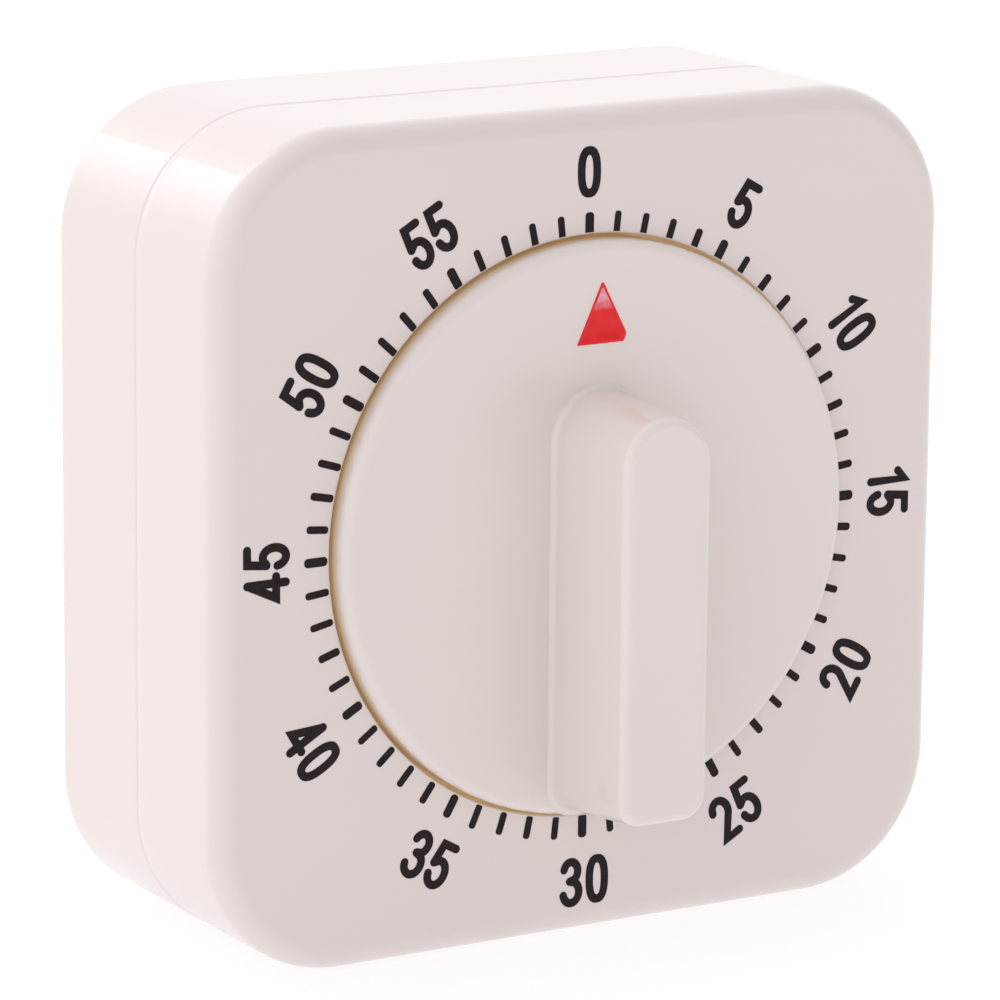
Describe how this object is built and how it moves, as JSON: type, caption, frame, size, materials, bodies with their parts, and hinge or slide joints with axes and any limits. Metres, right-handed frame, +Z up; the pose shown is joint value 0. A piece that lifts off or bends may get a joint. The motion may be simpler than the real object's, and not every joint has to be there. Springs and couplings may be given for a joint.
{
  "type": "kitchen timer",
  "caption": "Square wind-up kitchen timer: two-part case with a bell movement inside, and a turning disc with a finger grip and a pointer on its front.",
  "frame": {"origin": "centre of the bottom of the box around the whole timer, on the surface that it stands on", "axes": "+Z up, -Y out of the dial towards the user, +X to the right of someone who looks at the dial"},
  "size_m": [0.07, 0.0402, 0.07],
  "materials": {
    "case_front": "satin white moulded plastic with printed black marks",
    "case_rear": "satin white moulded plastic",
    "knob": "satin white moulded plastic",
    "mark": "glossy red",
    "screws": "zinc plated",
    "plates": "zinc plated sheet",
    "pillars": "turned",
    "turned_steel": "turned and polished",
    "stamped_steel": "stamped",
    "springs": "blued spring steel",
    "brass_wheels": "stamped brass",
    "acetal_wheels": "natural moulded acetal",
    "bell": "nickel plated"
  },
  "bodies": {
    "case": {"front_case": "case_front", "rear_cover": "case_rear", "case_screw_1": "screws", "case_screw_2": "screws", "case_screw_3": "screws", "case_screw_4": "screws", "front_plate": "plates", "rear_plate": "plates", "pillar_1": "pillars", "pillar_2": "pillars", "pillar_3": "pillars", "pillar_screw_1": "screws", "pillar_screw_2": "screws", "pillar_screw_3": "screws", "mount_screw_1": "screws", "mount_screw_2": "screws", "mount_screw_3": "screws", "bell_post": "turned_steel", "bell_cup": "bell", "bell_screw": "screws", "trip_stud": "turned_steel", "mainspring": "springs"},
    "dial": {"dial_knob": "knob", "pointer_mark": "mark", "main_arbor": "turned_steel", "ratchet_wheel": "stamped_steel", "trip_cam": "acetal_wheels"},
    "main_drive": {"main_wheel": "brass_wheels", "click_rivet": "turned_steel", "click_spring": "springs"},
    "click": {"click_pawl": "stamped_steel"},
    "second": {"second_pinion": "turned_steel", "second_wheel": "brass_wheels"},
    "third": {"third_pinion": "turned_steel", "third_wheel": "acetal_wheels"},
    "escape": {"escape_pinion": "turned_steel", "escape_wheel": "acetal_wheels"},
    "balance": {"pallet_arbor": "turned_steel", "pallet_lever": "brass_wheels", "pallet_pin_1": "turned_steel", "pallet_pin_2": "turned_steel", "balance_ring": "brass_wheels"},
    "strike": {"strike_pinion": "turned_steel", "strike_wheel": "stamped_steel"},
    "hammer": {"hammer_arbor": "turned_steel", "strike_anchor": "stamped_steel", "hammer_arm": "stamped_steel", "hammer_head": "brass_wheels", "stop_arm": "stamped_steel"},
    "trip": {"trip_lever": "stamped_steel"}
  },
  "joints": [
    {"name": "dial_turn", "type": "hinge", "parent": "case", "child": "dial", "pos_m": [0, 0, 0.035], "axis": [0, 1, 0], "range_deg": [0, 355], "deforming": ["mainspring"]},
    {"name": "main_wheel_turn", "type": "hinge", "parent": "case", "child": "main_drive", "pos_m": [0, 0, 0.035], "axis": [0, 1, 0], "range_deg": [0, 355]},
    {"name": "click_lift", "type": "hinge", "parent": "main_drive", "child": "click", "pos_m": [0, 0, 0.0436], "axis": [0, 1, 0], "range_deg": [-10, 0], "stiffness_Nm_per_rad": 0.00005, "deforming": ["click_spring"]},
    {"name": "second_turn", "type": "hinge", "parent": "case", "child": "second", "pos_m": [-0.0132, 0, 0.03019], "axis": [0, 1, 0], "continuous": true},
    {"name": "third_turn", "type": "hinge", "parent": "case", "child": "third", "pos_m": [-0.00959, 0, 0.02028], "axis": [0, 1, 0], "continuous": true},
    {"name": "escape_turn", "type": "hinge", "parent": "case", "child": "escape", "pos_m": [-0.00058, 0, 0.01949], "axis": [0, 1, 0], "continuous": true},
    {"name": "balance_rock", "type": "hinge", "parent": "case", "child": "balance", "pos_m": [0.00651, 0, 0.01824], "axis": [0, 1, 0], "range_deg": [-3, 3]},
    {"name": "strike_turn", "type": "hinge", "parent": "case", "child": "strike", "pos_m": [0.01384, 0, 0.03256], "axis": [0, 1, 0], "continuous": true},
    {"name": "hammer_swing", "type": "hinge", "parent": "case", "child": "hammer", "pos_m": [0.0183, 0, 0.0387], "axis": [0, 1, 0], "range_deg": [-6, 0]},
    {"name": "trip_drop", "type": "hinge", "parent": "case", "child": "trip", "pos_m": [0.0107, 0, 0.039], "axis": [0, 1, 0], "range_deg": [-6, 0]}
  ],
  "couplings": [
    {"joint": "main_wheel_turn", "follows": "dial_turn", "ratio": 1},
    {"joint": "second_turn", "follows": "dial_turn", "ratio": -6},
    {"joint": "third_turn", "follows": "dial_turn", "ratio": 30},
    {"joint": "escape_turn", "follows": "dial_turn", "ratio": -150},
    {"joint": "strike_turn", "follows": "dial_turn", "ratio": -6}
  ]
}
